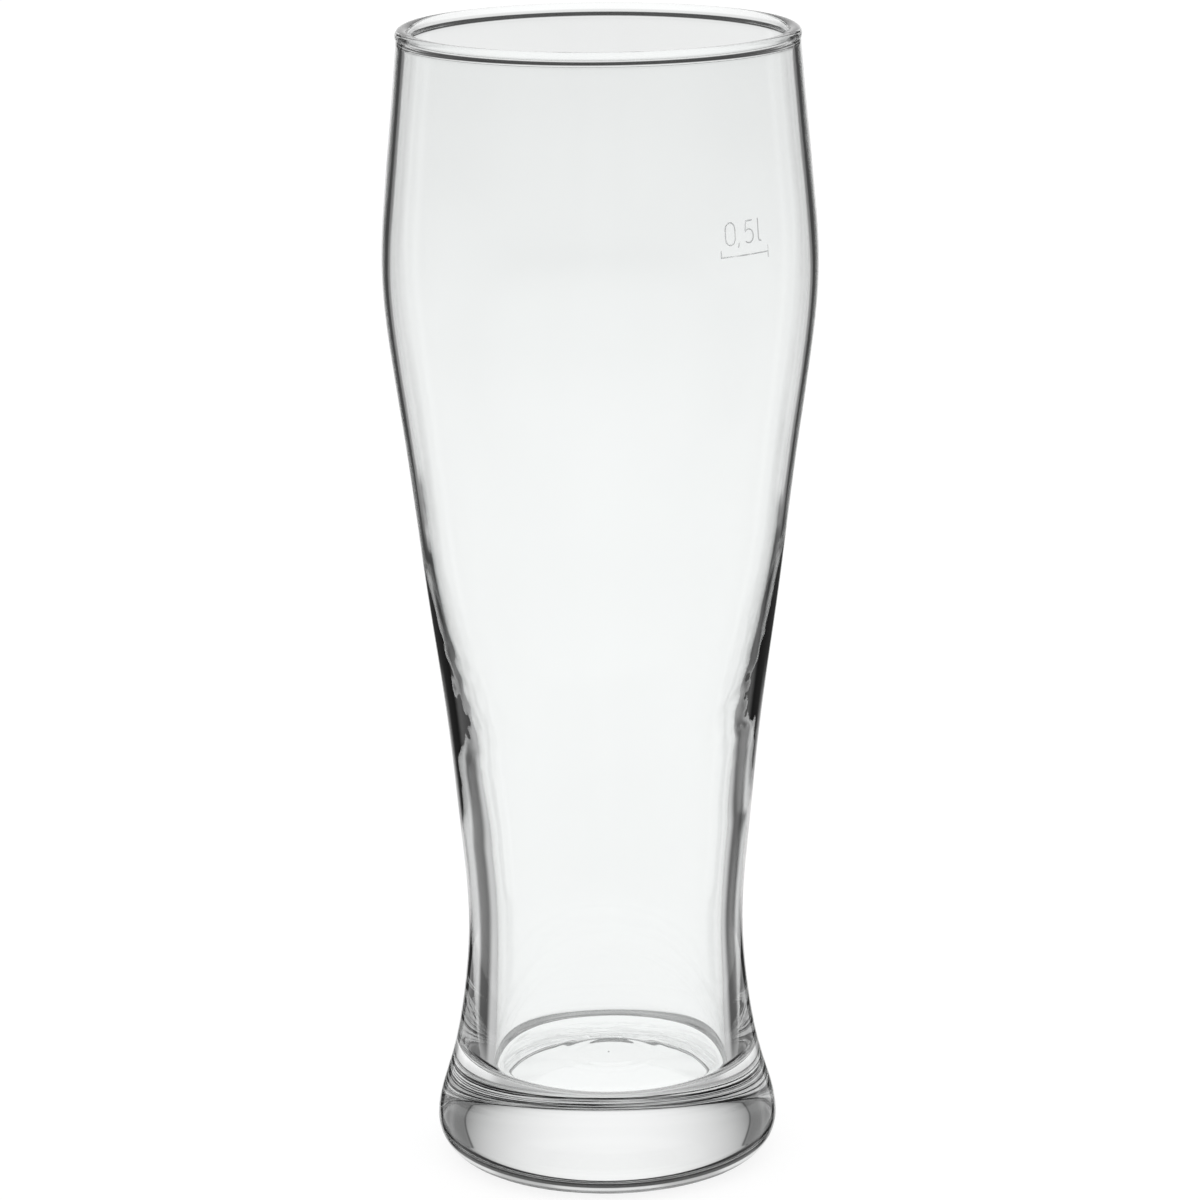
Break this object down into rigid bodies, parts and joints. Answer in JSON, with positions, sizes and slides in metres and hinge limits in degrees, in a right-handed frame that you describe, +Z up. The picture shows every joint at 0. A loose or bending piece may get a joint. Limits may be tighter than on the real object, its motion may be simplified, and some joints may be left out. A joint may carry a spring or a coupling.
{
  "type": "weizen glass",
  "caption": "Tall clear wheat beer glass with a heavy rounded foot, narrow waist, long taper, full belly and beaded rim.",
  "frame": {"origin": "centre of the standing ring, on the table", "axes": "+Z up along the axis of the glass; the picture looks along +Y, and the fill mark faces -Y and +X"},
  "size_m": [0.084, 0.084, 0.225],
  "materials": {
    "clear_glass": "polished"
  },
  "bodies": {
    "root": {"foot": "clear_glass", "waist": "clear_glass", "bowl": "clear_glass", "rim": "clear_glass"}
  },
  "joints": []
}
